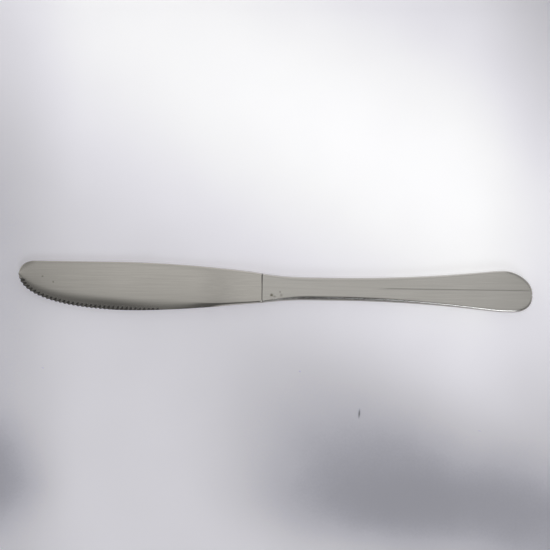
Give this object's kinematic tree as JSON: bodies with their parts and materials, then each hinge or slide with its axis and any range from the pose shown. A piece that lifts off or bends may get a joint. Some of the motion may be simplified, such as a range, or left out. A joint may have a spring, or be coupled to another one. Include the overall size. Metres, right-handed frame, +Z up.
{
  "type": "table knife",
  "caption": "Table knife with a round-nosed serrated blade, a flared shoulder and a slim hollow handle that widens to a rounded butt.",
  "frame": {"origin": "middle of the knife's footprint on the table it lies on: midway between tip and butt, midway across, at the height of the handle's flat underside", "axes": "+X along the knife from the blade's tip to the handle's butt, +Y across the knife towards the blade's back (the cutting edge looks to -Y), +Z up from the table"},
  "size_m": [0.2144, 0.0202, 0.006],
  "materials": {
    "blade_steel": "polished stainless steel with fine grain along the blade",
    "handle_steel": "polished stainless steel, worn to a soft satin",
    "solder": "pale silver-bearing hard solder, polished flush",
    "filling": "dull dark cement"
  },
  "bodies": {
    "root": {"blade": "blade_steel", "upper_handle_shell": "handle_steel", "lower_handle_shell": "handle_steel", "seam_solder": "solder", "handle_filling": "filling"}
  },
  "joints": []
}
